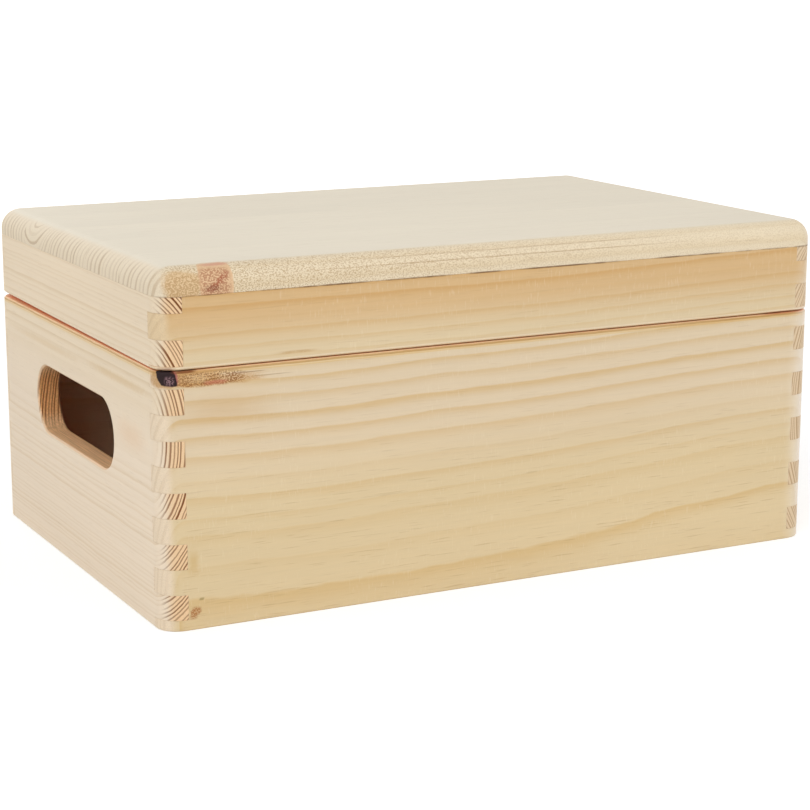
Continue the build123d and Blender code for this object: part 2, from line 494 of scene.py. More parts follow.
@dataclass(frozen=True)
class Plank:
    """A sawn pine plank: where its pith lay, and how its rings run. Lengths are in millimetres.

    Args:
        grain: The way that the grain runs.
        pith: A point on the pith.
        turn: The pith's small turn about +Z, in degrees.
        dip: The pith's small dip about the cross axis, in degrees.
        ring_width: The width of a ring, where they aren't counted.
        wander: How far the rings stray.
        seed: The place in the noise, in metres.
        sag: A dip in the grain: its middle along the board, its half length and its depth.
        taper: Where the log starts and stops to widen along the board, and by how much.
        rings: The rings that show on the board, from the pith outwards.
    """

    grain: GrainAxis
    pith: Place
    turn: float = 0.0
    dip: float = 0.0
    ring_width: float = 2.0
    wander: float = 5.0
    seed: float = 0.0
    sag: Place = (0.0, 100.0, 0.0)
    taper: Place = (0.0, 100.0, 0.0)
    rings: tuple[Ring, ...] = ()

    def lowered(self, drop: float) -> "Plank":
        """Gives the same plank, moved down by a drop in millimetres."""
        x, y, z = self.pith
        return replace(self, pith=(x, y, z - drop))

    @property
    def rotation(self) -> tuple[float, float, float]:
        """The log's turn from the +X axis, in radians."""
        heading = math.degrees(math.atan2(self.grain.value[1], self.grain.value[0]))
        return (0.0, math.radians(self.dip), math.radians(heading + self.turn))

    @property
    def bends(self) -> dict[str, float]:
        """The log's bends and taper, as inputs of the log radius group."""
        labels = ("Wander", "Sag_Centre", "Sag_Reach", "Sag_Depth", "Taper_Start", "Taper_End", "Taper")
        return dict(zip(labels, in_metres((self.wander, *self.sag, *self.taper))), Seed=self.seed)


@dataclass(frozen=True)
class Mark:
    """A knot, a resin streak, a stain, a painted highlight or a painted seam glow in a board.

    Args:
        centre: Its middle, in millimetres.
        size: Half its length each way, in millimetres.
        colour: Its colour as #rrggbb.
        strength: How far it covers the wood.
        ragged: How uneven its edge is.
        softness: The share of its radius over which it fades.
        lean: How far it moves along X for each millimetre up.
        fibrous: How far fibres of clean wood break it up.
        dotted: How far small dots of clean wood break it up.
        squareness: How close its outline comes to a block's, from 2 for an ellipsoid upwards.
    """

    centre: Place
    size: Place
    colour: str
    strength: float
    ragged: float
    softness: float
    lean: float = 0.0
    fibrous: float = 0.0
    dotted: float = 0.0
    squareness: float = 3.0

    @property
    def outline(self) -> dict[str, Any]:
        """Its place and outline, as inputs of the wood mark group."""
        numbers = {label: getattr(self, label.lower()) for label in WoodMark.numbers}
        return dict(numbers, Centre=in_metres(self.centre), Size=in_metres(self.size))


@dataclass(frozen=True)
class PineFinish:
    """Unfinished planed pine: pale early wood, golden late wood, and red-brown lines in the end grain.

    Args:
        sapwood: The paler wood of the faces, as #rrggbb.
        end_early: Early wood in the end grain.
        end_late: Late wood in the end grain.
        heartwood: The more golden wood of the faces.
        heart_above: From which height to which it turns golden upwards, in millimetres, and how far.
        heart_below: The same downwards.
        late_tint: What late wood takes off the face's colour.
        face_contrast: How far the rings show on the faces.
        end_contrast: How far they show in the end grain.
        end_spread: How far its lines differ from year to year, from 0 to 1.
        end_from: How squarely the end grain must face before its colour starts, from 0 to 1.
        streaks: How far fine brown streaks show, low on the board and high on it.
        porous: How open the grain is where the front edge is rounded.
        roughness: The roughness of the planed face.
        marks: Its knots, stains, painted highlights and painted seam glow, from the first laid down to the
            last.
    """

    sapwood: str
    end_early: str
    end_late: str
    heartwood: str = "#dfc08d"
    heart_above: Place = (400.0, 500.0, 0.0)
    heart_below: Place = (-400.0, -500.0, 0.0)
    late_tint: Colour = (0.92, 0.82, 0.64)
    face_contrast: float = 1.0
    end_contrast: float = 1.0
    end_spread: float = 0.5
    end_from: float = 0.6
    streaks: tuple[float, float] = (0.14, 0.14)
    porous: float = 0.0
    roughness: float = 0.62
    marks: tuple[Mark, ...] = ()


# Colours that every board shares, what cuts and bounced light do to them, and the painted highlights and
# painted seam glow among them
STREAK = srgb("#9c7440")
FLECK = srgb("#f6ead2")
PAINTED_LID_EDGE_HIGHLIGHT = srgb("#f3e0c6")
GLUE = srgb("#5d3a1c")
# Warm tone of the sawn rim and the lid's sole, partly their own and partly the painted glow of light bouncing
# in the seam
SAWN_AND_SEAM_GLOW_TINT = (0.99, 0.88, 0.70)
ROUTED_TINT = (0.93, 0.69, 0.47)
WARMER_ROUND_TINT = (0.99, 0.93, 0.83)
PORE_TINT = (0.50, 0.36, 0.20)
FLECK_STRENGTH = 0.15
PAINTED_LID_EDGE_HIGHLIGHT_STRENGTH = 0.45
GLUE_STRENGTH = 0.85
GLUE_THICKNESS = 0.42 * MM
NEAR_BOUNCE_TINT = (1.03, 0.91, 0.72)
SEAM_BOUNCE_TINT = (1.30, 0.68, 0.24)
DEEP_BOUNCE_TINT = (1.30, 0.47, 0.09)

# The heights over which the inside starts, and the distances from the rim over which the seam ends
OVER_BOTTOM = (3.0 * MM, 3.5 * MM)
SEAM_REACH = (2.4 * MM, 2.8 * MM)

# The plywood's veneer
VENEER_SEED = 3.7
VENEER_PALE = srgb("#e2cba4")
VENEER_DARK = srgb("#c9a676")
VENEER_PORE = srgb("#8d6a40")
CROSS_PLY = srgb("#a87b4a")
FIGURE_STRENGTH = 0.6
VENEER_PORE_STRENGTH = 0.45

# How far tarnish covers the brass
TARNISH_STRENGTH = 0.4

# How much the unpolished wood reflects, and how deep the grain and the brushing go
WOOD_SPECULAR = 0.3
PINE_RELIEF = 0.05 * MM
PLYWOOD_RELIEF = 0.06 * MM
BRASS_RELIEF = 0.01 * MM


@dataclass(frozen=True)
class EdgeBand:
    """A band of tone, painted highlight or painted glow along the sawn and sanded rim, from the rim in
    millimetres, and half its fade's width.
    """

    low: float
    high: float
    tint: Colour
    soft: float = 0.1


# Bands below the body's rim, from the bottom up: a yellower band painted for the eased edge's highlight, a
# darker brown line, and the rim's warm tone, partly painted seam glow
RIM_BANDS_WITH_PAINTED_LIGHT = (
    EdgeBand(-1.9, -1.0, (1.0, 0.92, 0.73)),
    EdgeBand(-1.05, -0.35, (0.72, 0.55, 0.32)),
    EdgeBand(-0.35, 0.3, SAWN_AND_SEAM_GLOW_TINT),
)


@dataclass(frozen=True)
class Cuts:
    """The places where the boards were sawn and routed, in metres, worked out from the frame."""

    rim: float
    lid_sole: float
    lid_sole_back: float
    top_joint: float
    hole_half_length: float
    hole_low: float
    hole_high: float
    inner_face: float
    inner_side: float

    @classmethod
    def from_frame(cls) -> "Cuts":
        """Reads the heights from the nodes' boxes, and the hole from the record.

        Returns:
            The cuts.
        """
        _, board_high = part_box("left_board")
        openings = {opening["name"]: opening["box_m"] for opening in frame["record"]["physics"]["openings"]}
        hole_low, hole_high = openings["left_hand_hole"]
        inner = openings["body_interior"][1]
        along_spare, up_spare, wall_spare = 11.5 * MM, 11.5 / 3 * MM, 0.5 * MM
        return cls(
            rim=board_high[2],
            lid_sole=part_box("lid_front_board")[0][2],
            lid_sole_back=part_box("lid_back_board")[0][2],
            top_joint=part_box("lid_stave_1")[0][2],
            hole_half_length=hole_high[1] + along_spare,
            hole_low=hole_low[2] - up_spare,
            hole_high=hole_high[2] + up_spare,
            inner_face=inner[0] + wall_spare,
            inner_side=inner[1] + wall_spare,
        )


@dataclass(frozen=True)
class Surface:
    """What a material reads off its piece, in the piece's own space.

    Args:
        graph: The material's graph.
        place: The coordinates.
        normal: The normal.
        x: The coordinate along the box.
        y: The coordinate across it.
        height: The height above the floor.
        aside: How far the surface faces +X.
        front: How far it faces the front.
        up: How far it faces upwards.
    """

    graph: Graph
    place: Socket
    normal: Socket
    x: Socket
    y: Socket
    height: Socket
    aside: Socket
    front: Socket
    up: Socket

    @classmethod
    def of(cls, graph: Graph) -> "Surface":
        """Adds the coordinates to a material's graph.

        Args:
            graph: The material's graph.

        Returns:
            The surface.
        """
        made = graph.node("ShaderNodeTexCoord")
        place, normal = made.outputs["Object"], made.outputs["Normal"]
        aside, back, up = graph.parts(normal)
        return cls(graph, place, normal, *graph.parts(place), aside, graph.times(back, -1.0), up)


def new_material(name: str) -> tuple[bpy.types.Material, Graph]:
    """Makes an empty node material.

    Args:
        name: The material's name.

    Returns:
        The material and its graph.
    """
    material = bpy.data.materials.new(name)
    material.use_nodes = True
    return material, Graph(material.node_tree)


class Materials:
    """All the finishes of the box, with the node groups that they share."""

    def __init__(self, cuts: Cuts) -> None:
        """Builds the shared groups.

        Args:
            cuts: Where the boards were sawn and routed.
        """
        self.cuts = cuts
        self.log_radius = LogRadius()
        self.even_seasons = EvenSeasons()
        self.growth_ring = GrowthRing()
        self.fibre = WoodFibre()
        self.mark = WoodMark()
        self.glue_line = GlueLine()
        self.brushed = BrushedMetal()

    def finish(
        self, graph: Graph, colour: Any, roughness: Any, height: Any, depth: float, **plain: float
    ) -> None:
        """Adds the Principled shader, a bump and the output.

        Args:
            graph: The material's graph.
            colour: Base colour.
            roughness: Roughness.
            height: Height for the bump.
            depth: The bump's depth in metres.
            plain: Other Principled values, with _ for a space.
        """
        bump = graph.node("ShaderNodeBump", inputs={"Strength": 1.0, "Distance": depth, "Height": height})
        inputs = {label.replace("_", " "): value for label, value in plain.items()}
        inputs |= {"Base Color": colour, "Roughness": roughness, "Normal": bump.outputs["Normal"]}
        shader = graph.node("ShaderNodeBsdfPrincipled", inputs=inputs)
        graph.node("ShaderNodeOutputMaterial", inputs={"Surface": shader.outputs["BSDF"]})

    def count_rings(self, graph: Graph, plank: Plank, radius: Socket) -> tuple[Socket, Socket | None]:
        """Turns the distance from the pith into a number of years.

        Args:
            graph: The material's graph.
            plank: The plank.
            radius: The distance from its pith.

        Returns:
            The count of years, and each year's strength where the rings are counted.
        """
        if not plank.rings:
            width = plank.ring_width * MM
            even = self.even_seasons.place(graph, Radius=radius, Ring_Width=width, Seed=plank.seed)
            return even["Count"], None
        first, last, years = plank.rings[0].radius, plank.rings[-1].radius, len(plank.rings) - 1
        span = graph.maths("DIVIDE", graph.minus(radius, first * MM), (last - first) * MM, clamp=True)
        curve = graph.node("ShaderNodeFloatCurve", inputs={"Value": span})
        points = curve.mapping.curves[0].points
        for year, ring in enumerate(plank.rings[1:-1], start=1):
            points.new((ring.radius - first) / (last - first), year / years)
        for point in points:
            point.handle_type = "VECTOR"
        curve.mapping.update()
        count = graph.times(curve.outputs[0], float(years))
        middle = graph.maths("DIVIDE", graph.plus(graph.maths("FLOOR", count), 0.5), float(years))
        ramp = graph.node("ShaderNodeValToRGB", middle)
        ramp.color_ramp.interpolation = "CONSTANT"
        stops = ramp.color_ramp.elements
        stops.remove(stops[1])
        for year, ring in enumerate(plank.rings[1:]):
            stop = stops[0] if year == 0 else stops.new(year / years)
            stop.color = (ring.strength, ring.strength, ring.strength, 1.0)
        return count, ramp.outputs["Color"]

    def face_wood(self, wood: Surface, finish: PineFinish, late: Socket, fibre: dict[str, Socket]) -> Socket:
        """Colours the long grain.

        Args:
            wood: The board's surface.
            finish: The wood's colours.
            late: How far the late wood shows.
            fibre: The outputs of the fibre group.

        Returns:
            The face's colour.
        """
        graph = wood.graph
        upwards, downwards = (
            graph.ramp(wood.height, low * MM, high * MM, 0.0, share)
            for low, high, share in (finish.heart_above, finish.heart_below)
        )
        colour = graph.mix(graph.plus(upwards, downwards), srgb(finish.sapwood), srgb(finish.heartwood))
        colour = graph.tint(late, colour, finish.late_tint)
        cloudy, threaded = (graph.linear(fibre[kind], 0.10, 0.95) for kind in ("Blotch", "Fibre"))
        colour = graph.tint(1.0, colour, graph.times(cloudy, threaded))
        streaks = graph.ramp(wood.height, 20 * MM, 75 * MM, *finish.streaks)
        colour = graph.mix(graph.times(fibre["Streak"], streaks), colour, STREAK)
        return graph.mix(graph.times(fibre["Fleck"], FLECK_STRENGTH), colour, FLECK)

    def pine(self, name: str, plank: Plank, finish: PineFinish) -> bpy.types.Material:
        """Dresses a board cut from a plank.

        Args:
            name: The material's name.
            plank: Where the board lay in its log.
            finish: The wood's colours.

        Returns:
            The material.
        """
        material, graph = new_material(name)
        wood = Surface.of(graph)
        pith = {"Vector": wood.place, "Location": in_metres(plank.pith), "Rotation": plank.rotation}
        log_place = graph.node("ShaderNodeMapping", inputs=pith, vector_type="TEXTURE").outputs["Vector"]
        radius = self.log_radius.place(graph, Log_Place=log_place, **plank.bends)["Radius"]
        count, strength = self.count_rings(graph, plank, radius)
        ring = self.growth_ring.place(graph, Count=count, Seed=plank.seed)
        if strength is None:
            strength = graph.linear(ring["Chance"], 0.85, 0.15)
        fibre = self.fibre.place(graph, Log_Place=log_place, Seed=plank.seed)

        rounded = graph.ramp(wood.front, 0.10, 0.42)
        contrast = graph.linear(rounded, finish.porous, finish.face_contrast)
        late = graph.times(ring["Late Wood"], strength, contrast)
        face = self.face_wood(wood, finish, late, fibre)
        if finish.porous:
            fade = graph.ramp(wood.x, -150 * MM, 120 * MM, 1.0, 0.3)
            # The top's front-facing round is tinted warmer and a little darker
            face = graph.tint(rounded, face, WARMER_ROUND_TINT)
            face = graph.tint(graph.times(rounded, fade, fibre["Pore"], finish.porous), face, PORE_TINT)

        facing = graph.unsigned(graph.vector("DOT_PRODUCT", wood.normal, plank.grain.value))
        end = graph.tint(1.0, srgb(finish.end_early), graph.linear(fibre["Pore"], -0.07, 1.02))
        colour = graph.mix(graph.ramp(facing, finish.end_from, finish.end_from + 0.35), face, end)
        weight = graph.linear(strength, finish.end_spread, 1.0 - finish.end_spread)
        line = graph.times(ring["Ring Line"], weight, finish.end_contrast, graph.ramp(facing, 0.35, 0.9))
        colour = graph.mix(line, colour, srgb(finish.end_late))

        colour = self.cut_faces(wood, colour, fibre)
        for mark in finish.marks:
            mask = self.mark.place(graph, Place=wood.place, **mark.outline)["Mask"]
            colour = graph.mix(graph.times(mask, mark.strength), colour, srgb(mark.colour))
        colour = self.bounced(wood, colour)
        relief = graph.linear(fibre["Fibre"], 0.6, graph.times(late, 0.4))
        roughness = graph.linear(fibre["Fibre"], 0.14, finish.roughness - 0.07)
        self.finish(graph, colour, roughness, relief, PINE_RELIEF, Specular_IOR_Level=WOOD_SPECULAR)
        return material

    def inside(self, wood: Surface) -> Socket:
        """Masks the faces inside the box.

        Args:
            wood: The piece's surface.

        Returns:
            The mask.
        """
        graph, cuts = wood.graph, self.cuts
        walls = ((wood.x, cuts.inner_face), (wood.y, cuts.inner_side), (wood.height, cuts.top_joint))
        near, far = 0.2 * MM, 0.5 * MM
        within = (graph.fall(graph.unsigned(way), wall + near, wall + far) for way, wall in walls)
        return graph.times(graph.ramp(wood.height, *OVER_BOTTOM), *within)

    def bounced(self, wood: Surface, colour: Socket) -> Socket:
        """Warms the light that wood throws on wood inside the box and in the seam.

        Args:
            wood: The piece's surface.
            colour: The wood's colour.

        Returns:
            The colour that each kind of ray meets.
        """
        graph = wood.graph
        from_rim = graph.unsigned(graph.minus(wood.height, self.cuts.rim))
        level = graph.ramp(graph.unsigned(wood.up), 0.6, 0.9)
        seam = graph.times(graph.fall(from_rim, *SEAM_REACH), level)
        bounces = graph.node("ShaderNodeLightPath").outputs["Diffuse Depth"]
        near = graph.mix(seam, NEAR_BOUNCE_TINT, SEAM_BOUNCE_TINT)
        tint = graph.mix(graph.ramp(bounces, 1.2, 1.8), near, DEEP_BOUNCE_TINT)
        met = graph.times(graph.is_ray("Diffuse"), graph.larger(self.inside(wood), seam))
        return graph.tint(met, colour, tint)

    def cut_faces(self, wood: Surface, colour: Socket, fibre: dict[str, Socket]) -> Socket:
        """Tints the sawn rim's bands, with their painted highlight and painted seam glow, tints the lid's
        sole and paints a highlight on its lower edge, and darkens the routed walls of the hand holes and the
        glue line.

        Args:
            wood: The board's surface.
            colour: The wood's colour.
            fibre: The outputs of the fibre group.

        Returns:
            The colour with the cuts in it.
        """
        graph, cuts = wood.graph, self.cuts
        uneven = graph.minus(graph.noise(wood.place, (60.0, 60.0, 60.0)), 0.5)
        from_rim = graph.minus(graph.linear(uneven, 0.7 * MM, wood.height), cuts.rim)
        outside = graph.minus(1.0, self.inside(wood))
        # The rim's bands: a painted highlight below, a darker line, then the warm rim that partly paints the
        # seam's glow
        for edge in RIM_BANDS_WITH_PAINTED_LIGHT:
            rise, fall = ((middle - edge.soft, middle + edge.soft) for middle in (edge.low, edge.high))
            colour = graph.tint(graph.times(graph.band(from_rim, rise, fall), outside), colour, edge.tint)

        slope = (cuts.lid_sole_back - cuts.lid_sole) / (CAD_HIGH[1] - CAD_LOW[1])
        sole = graph.linear(graph.minus(wood.y, CAD_LOW[1]), slope, cuts.lid_sole)
        over_sole = graph.minus(wood.height, sole)
        # The lid's downward sole takes the warm tint: partly the sawn face's own tone, partly the painted
        # glow of the seam
        facing_down = graph.fall(wood.up, -0.9, -0.6)
        sawn = graph.times(graph.band(over_sole, (-0.6, -0.1), (0.1, 0.5)), facing_down)
        colour = graph.tint(sawn, colour, SAWN_AND_SEAM_GLOW_TINT)
        # A painted highlight: a cream band along the lid's lower eased edge, just above the seam
        pale = graph.band(over_sole, (0.35, 0.6), (1.0, 1.3))
        colour = graph.mix(graph.times(pale, PAINTED_LID_EDGE_HIGHLIGHT_STRENGTH), colour, PAINTED_LID_EDGE_HIGHLIGHT)

        soft = 0.5 * MM
        routed = graph.times(
            graph.fall(graph.unsigned(wood.aside), 0.55, 0.9),
            graph.fall(graph.unsigned(wood.y), cuts.hole_half_length, cuts.hole_half_length + soft),
            graph.ramp(wood.height, cuts.hole_low - soft, cuts.hole_low),
            graph.fall(wood.height, cuts.hole_high, cuts.hole_high + soft),
            graph.ramp(graph.unsigned(wood.x), cuts.inner_face - 1.0 * MM, cuts.inner_face - 0.2 * MM),
        )
        torn = graph.tint(1.0, ROUTED_TINT, graph.linear(fibre["Fibre"], 1.1, 0.42))
        colour = graph.tint(routed, colour, torn)
        joint = {"Place": wood.place, "Height": cuts.top_joint, "Thickness": GLUE_THICKNESS}
        glue = graph.times(self.glue_line.place(graph, **joint)["Mask"], graph.ramp(wood.front, 0.3, 0.7))
        return graph.mix(graph.times(glue, GLUE_STRENGTH), colour, GLUE)

    def plywood(self) -> bpy.types.Material:
        """Dresses the thin bottom: peeled veneer on the faces, and the cross ply between them at the edge.

        Returns:
            The material.
        """
        material, graph = new_material("plywood")
        wood = Surface.of(graph)
        place = graph.join(graph.plus(wood.x, VENEER_SEED), wood.y, wood.height)
        share = graph.maths("FRACT", graph.times(graph.noise(place, (3.2, 15.0, 1.0)), 11.0))
        figure = graph.times(graph.ramp(share, 0.15, 0.85), graph.fall(share, 0.88, 1.0))
        fibre = graph.noise(place, (40.0, 1200.0, 1200.0), detail=3.0)
        pore = graph.ramp(graph.noise(place, (220.0, 2600.0, 2600.0), detail=1.0), 0.66, 0.76)
        colour = graph.mix(graph.times(figure, FIGURE_STRENGTH), VENEER_PALE, VENEER_DARK)
        colour = graph.tint(1.0, colour, graph.linear(fibre, 0.16, 0.92))
        colour = graph.mix(graph.times(pore, VENEER_PORE_STRENGTH), colour, VENEER_PORE)
        low, high = (corner[2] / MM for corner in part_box("bottom_panel"))
        lower, upper = low + (high - low) / 3, high - (high - low) / 3
        core = graph.band(wood.height, (lower - 0.05, lower + 0.05), (upper - 0.05, upper + 0.05))
        colour = self.bounced(wood, graph.mix(core, colour, CROSS_PLY))
        relief = graph.linear(figure, 0.3, graph.times(fibre, 0.7))
        roughness = graph.linear(fibre, 0.12, 0.6)
        self.finish(graph, colour, roughness, relief, PLYWOOD_RELIEF, Specular_IOR_Level=WOOD_SPECULAR)
        return material

    def brass(self, name: str, bright: str, dull: str, scale: float) -> bpy.types.Material:
        """Dresses the brass-plated hinges and screws.

        Args:
            name: The material's name.
            bright: The clean plating's colour.
            dull: The tarnished plating's colour.
            scale: How fine the brushing is.

        Returns:
            The material.
        """
        material, graph = new_material(name)
        place = graph.node("ShaderNodeTexCoord").outputs["Object"]
        metal = self.brushed.place(graph, Place=place, Scale=scale)
        colour = graph.mix(graph.times(metal["Tarnish"], TARNISH_STRENGTH), srgb(bright), srgb(dull))
        roughness = graph.linear(metal["Brush"], 0.22, graph.linear(metal["Tarnish"], 0.16, 0.2))
        self.finish(graph, colour, roughness, metal["Brush"], BRASS_RELIEF, Metallic=1.0)
        return material


def deselect_all() -> None:
    """Leaves object mode clean, with nothing selected."""
    if bpy.context.object and bpy.context.object.mode != "OBJECT":
        bpy.ops.object.mode_set(mode="OBJECT")
    bpy.ops.object.select_all(action="DESELECT")


def activate(piece: bpy.types.Object) -> None:
    """Selects one object alone and makes it the active one.

    Args:
        piece: The object.
    """
    deselect_all()
    piece.select_set(True)
    bpy.context.view_layer.objects.active = piece


def remove(piece: bpy.types.Object) -> None:
    """Deletes an object."""
    activate(piece)
    bpy.ops.object.delete()


def add_object(name: str, data: bpy.types.ID) -> bpy.types.Object:
    """Adds an object to the scene.

    Args:
        name: Its name.
        data: Its mesh, lamp or camera.

    Returns:
        The object.
    """
    made = bpy.data.objects.new(name, data)
    bpy.context.scene.collection.objects.link(made)
    return made


def add_block(size: Place) -> bpy.types.Object:
    """Adds a block around the origin.

    Args:
        size: Its lengths, in metres.

    Returns:
        The block.
    """
    deselect_all()
    bpy.ops.mesh.primitive_cube_add(size=1.0)
    block = bpy.context.object
    block.scale = size
    place_mesh(block)
    return block


def place_mesh(piece: bpy.types.Object) -> None:
    """Moves an object's place and turn into its mesh."""
    activate(piece)
    bpy.ops.object.transform_apply(location=True, rotation=True, scale=True)


def apply_modifier(piece: bpy.types.Object, kind: str, **settings: Any) -> None:
    """Changes a piece's mesh by a modifier.

    Args:
        piece: The piece.
        kind: The modifier's type.
        settings: Its properties by name.
    """
    activate(piece)
    made = piece.modifiers.new(kind.lower(), kind)
    for name, value in settings.items():
        setattr(made, name, value)
    bpy.ops.object.modifier_apply(modifier=made.name)


def carve(piece: bpy.types.Object, cutter: bpy.types.Object) -> None:
    """Takes a cutter's shape out of a piece and removes the cutter."""
    apply_modifier(piece, "BOOLEAN", operation="DIFFERENCE", solver="EXACT", object=cutter)
    remove(cutter)


def pick(piece: bpy.types.Object, kind: Part, wanted: Callable[[Vector, Vector], bool]) -> int:
    """Selects the faces or edges of a piece in edit mode that a test accepts.

    Args:
        piece: The piece in edit mode.
        kind: What is picked.
        wanted: A test that is given a face's centre and normal, or an edge's two ends.

    Returns:
        How many were selected.
    """
    bpy.ops.mesh.select_mode(type=kind.value)
    bpy.ops.mesh.select_all(action="DESELECT")
    bpy.ops.object.mode_set(mode="OBJECT")
    mesh, found = piece.data, 0
    for part in mesh.polygons if kind is Part.FACES else mesh.edges:
        if kind is Part.FACES:
            part.select = wanted(part.center, part.normal)
        else:
            part.select = wanted(*(mesh.vertices[end].co for end in part.vertices))
        found += part.select
    bpy.ops.object.mode_set(mode="EDIT")
    return found


def settle(piece: bpy.types.Object, node: str, body: Body, material: bpy.types.Material) -> None:
    """Makes a piece stand for a node, ride on its body and wear its finish.

    Args:
        piece: The finished piece.
        node: The CAD node that it stands for.
        body: The body that it rides on.
        material: Its finish.
    """
    piece.data.materials.clear()
    piece.data.materials.append(material)
    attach(piece, body.value)
    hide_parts(node)
    LOG.info("%s stands for %s on %s: %d faces", piece.name, node, body.value, len(piece.data.polygons))


@dataclass
class Joinery:
    """Turns a plain solid into a worked one: one skin, smooth rounds and softened arrises."""

    merge_distance: float = 0.001 * MM
    flat_angle: float = 0.4
    smooth_angle: float = 32.0
    bevel_angle: float = 40.0
    arris: float = 0.18 * MM
    arris_steps: int = 2

    def skin(self, node: str, name: str) -> bpy.types.Object:
        """Copies a node's mesh and merges its loose triangles into one skin.

        Args:
            node: The CAD node.
            name: The new piece's name.

        Returns:
            The merged piece, at the origin.
        """
        mesh = frame["nodes"][node].data.copy()
        mesh.name = name
        piece = add_object(name, mesh)
        activate(piece)
        bpy.ops.mesh.customdata_custom_splitnormals_clear()
        bpy.ops.object.mode_set(mode="EDIT")
        bpy.ops.mesh.select_all(action="SELECT")
        bpy.ops.mesh.remove_doubles(threshold=self.merge_distance)
        bpy.ops.mesh.dissolve_limited(angle_limit=math.radians(self.flat_angle))
        bpy.ops.mesh.normals_make_consistent(inside=False)
        bpy.ops.object.mode_set(mode="OBJECT")
        return piece

    def soften(self, piece: bpy.types.Object) -> bpy.types.Object:
        """Bevels the sharp edges and shades the rounds smooth.

        Args:
            piece: The piece.

        Returns:
            The same piece.
        """
        sharp = {"limit_method": "ANGLE", "angle_limit": math.radians(self.bevel_angle)}
        apply_modifier(piece, "BEVEL", width=self.arris, segments=self.arris_steps, **sharp)
        bpy.ops.object.shade_smooth_by_angle(angle=math.radians(self.smooth_angle))
        apply_modifier(piece, "WEIGHTED_NORMAL", mode="FACE_AREA", weight=100, keep_sharp=True)
        return piece

    def worked_copy(self, node: str, name: str) -> bpy.types.Object:
        """Merges and softens a copy of a node."""
        return self.soften(self.skin(node, name))


@dataclass(frozen=True)
class Board:
    """A pine board: its CAD node, the plank that it was cut from, and its finish."""

    node: str
    plank: Plank
    finish: PineFinish


@dataclass
class Boards:
    """The pine boards of one body."""

    body: Body
    boards: tuple[Board, ...]

    def build(self, joinery: Joinery, materials: Materials) -> None:
        """Works and dresses each board.

        Args:
            joinery: How they are worked.
            materials: The box's finishes.
        """
        for board in self.boards:
            piece = joinery.worked_copy(board.node, f"{board.node}_wood")
            material = materials.pine(board.node, board.plank, board.finish)
            settle(piece, board.node, self.body, material)


@dataclass
class Bottom:
    """The thin plywood bottom in its rebate."""

    node: str = "bottom_panel"

    def build(self, joinery: Joinery, materials: Materials) -> None:
        """Works and dresses the panel."""
        piece = joinery.worked_copy(self.node, f"{self.node}_veneered")
        settle(piece, self.node, Body.BOX, materials.plywood())


@dataclass
class ButtHinge:
    """One small butt hinge: two leaves of rolled sheet and the pin.

    Args:
        side: The side that it stands on.
        corner_radius: The radius of the leaves' free corners.
        corner_steps: The steps of that radius.
        barrel_radius: The outer radius of the knuckles.
        slit_width: The width of the gap where the sheet's end meets the leaf.
        slit_depth: The height of the block that cuts it.
        slit_reach: How far that block lies from the pin's axis.
        slit_spare: How far it stands out past each end of the leaf.
        slit_angle: Its lean from upright, in degrees.
        joinery: How the leaves are worked.
        pin_joinery: How the pin is worked.
    """

    side: Side
    corner_radius: float = 1.3 * MM
    corner_steps: int = 6
    barrel_radius: float = 1.75 * MM
    slit_width: float = 0.14 * MM
    slit_depth: float = 1.2 * MM
    slit_reach: float = 1.45 * MM
    slit_spare: float = 1.0 * MM
    slit_angle: float = 38.0
    joinery: Joinery = field(default_factory=lambda: Joinery(arris=0.1 * MM))
    pin_joinery: Joinery = field(default_factory=lambda: Joinery(arris=0.32 * MM, arris_steps=4))

    def build(self, finish: bpy.types.Material) -> None:
        """Makes both leaves and the pin.

        Args:
            finish: Their brass.
        """
        for body, part in ((Body.BOX, "body_leaf"), (Body.LID, "lid_leaf")):
            node = f"{self.side.value}_hinge_{part}"
            settle(self.leaf(node, body), node, body, finish)
        node = f"{self.side.value}_hinge_pin"
        settle(self.pin_joinery.worked_copy(node, f"{node}_turned"), node, Body.BOX, finish)

    def leaf(self, node: str, body: Body) -> bpy.types.Object:
        """Rounds the leaf's free corners and parts the roll of its knuckles.

        Args:
            node: The leaf's CAD node.
            body: The body that it is screwed to.

        Returns:
            The leaf.
        """
        piece = self.joinery.skin(node, f"{node}_rolled")
        low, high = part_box(node)
        near, shortest = 0.05 * MM, 0.5 * MM

        def free_corner(first: Vector, second: Vector) -> bool:
            """Tells a short upright edge on the leaf's free side."""
            upright = abs(first.x - second.x) < near and abs(first.z - second.z) > shortest
            return upright and max(first.y, second.y) < low[1] + near

        activate(piece)
        bpy.ops.object.mode_set(mode="EDIT")
        corners = pick(piece, Part.EDGES, free_corner)
        bpy.ops.mesh.bevel(offset=self.corner_radius, segments=self.corner_steps, affect="EDGES")
        bpy.ops.object.mode_set(mode="OBJECT")
        LOG.info("%s: %d corners rounded", node, corners)

        outward, face = (-1.0, low[2]) if body is Body.BOX else (1.0, high[2])
        lean = math.radians(self.slit_angle)
        axis_y, axis_z = high[1] - self.barrel_radius, face - outward * self.barrel_radius
        cutter = add_block((high[0] - low[0] + 2 * self.slit_spare, self.slit_width, self.slit_depth))
        cutter.rotation_euler = (outward * lean, 0.0, 0.0)
        cutter.location = (
            (low[0] + high[0]) / 2,
            axis_y - self.slit_reach * math.sin(lean),
            axis_z + outward * self.slit_reach * math.cos(lean),
        )
        place_mesh(cutter)
        carve(piece, cutter)
        return self.joinery.soften(piece)


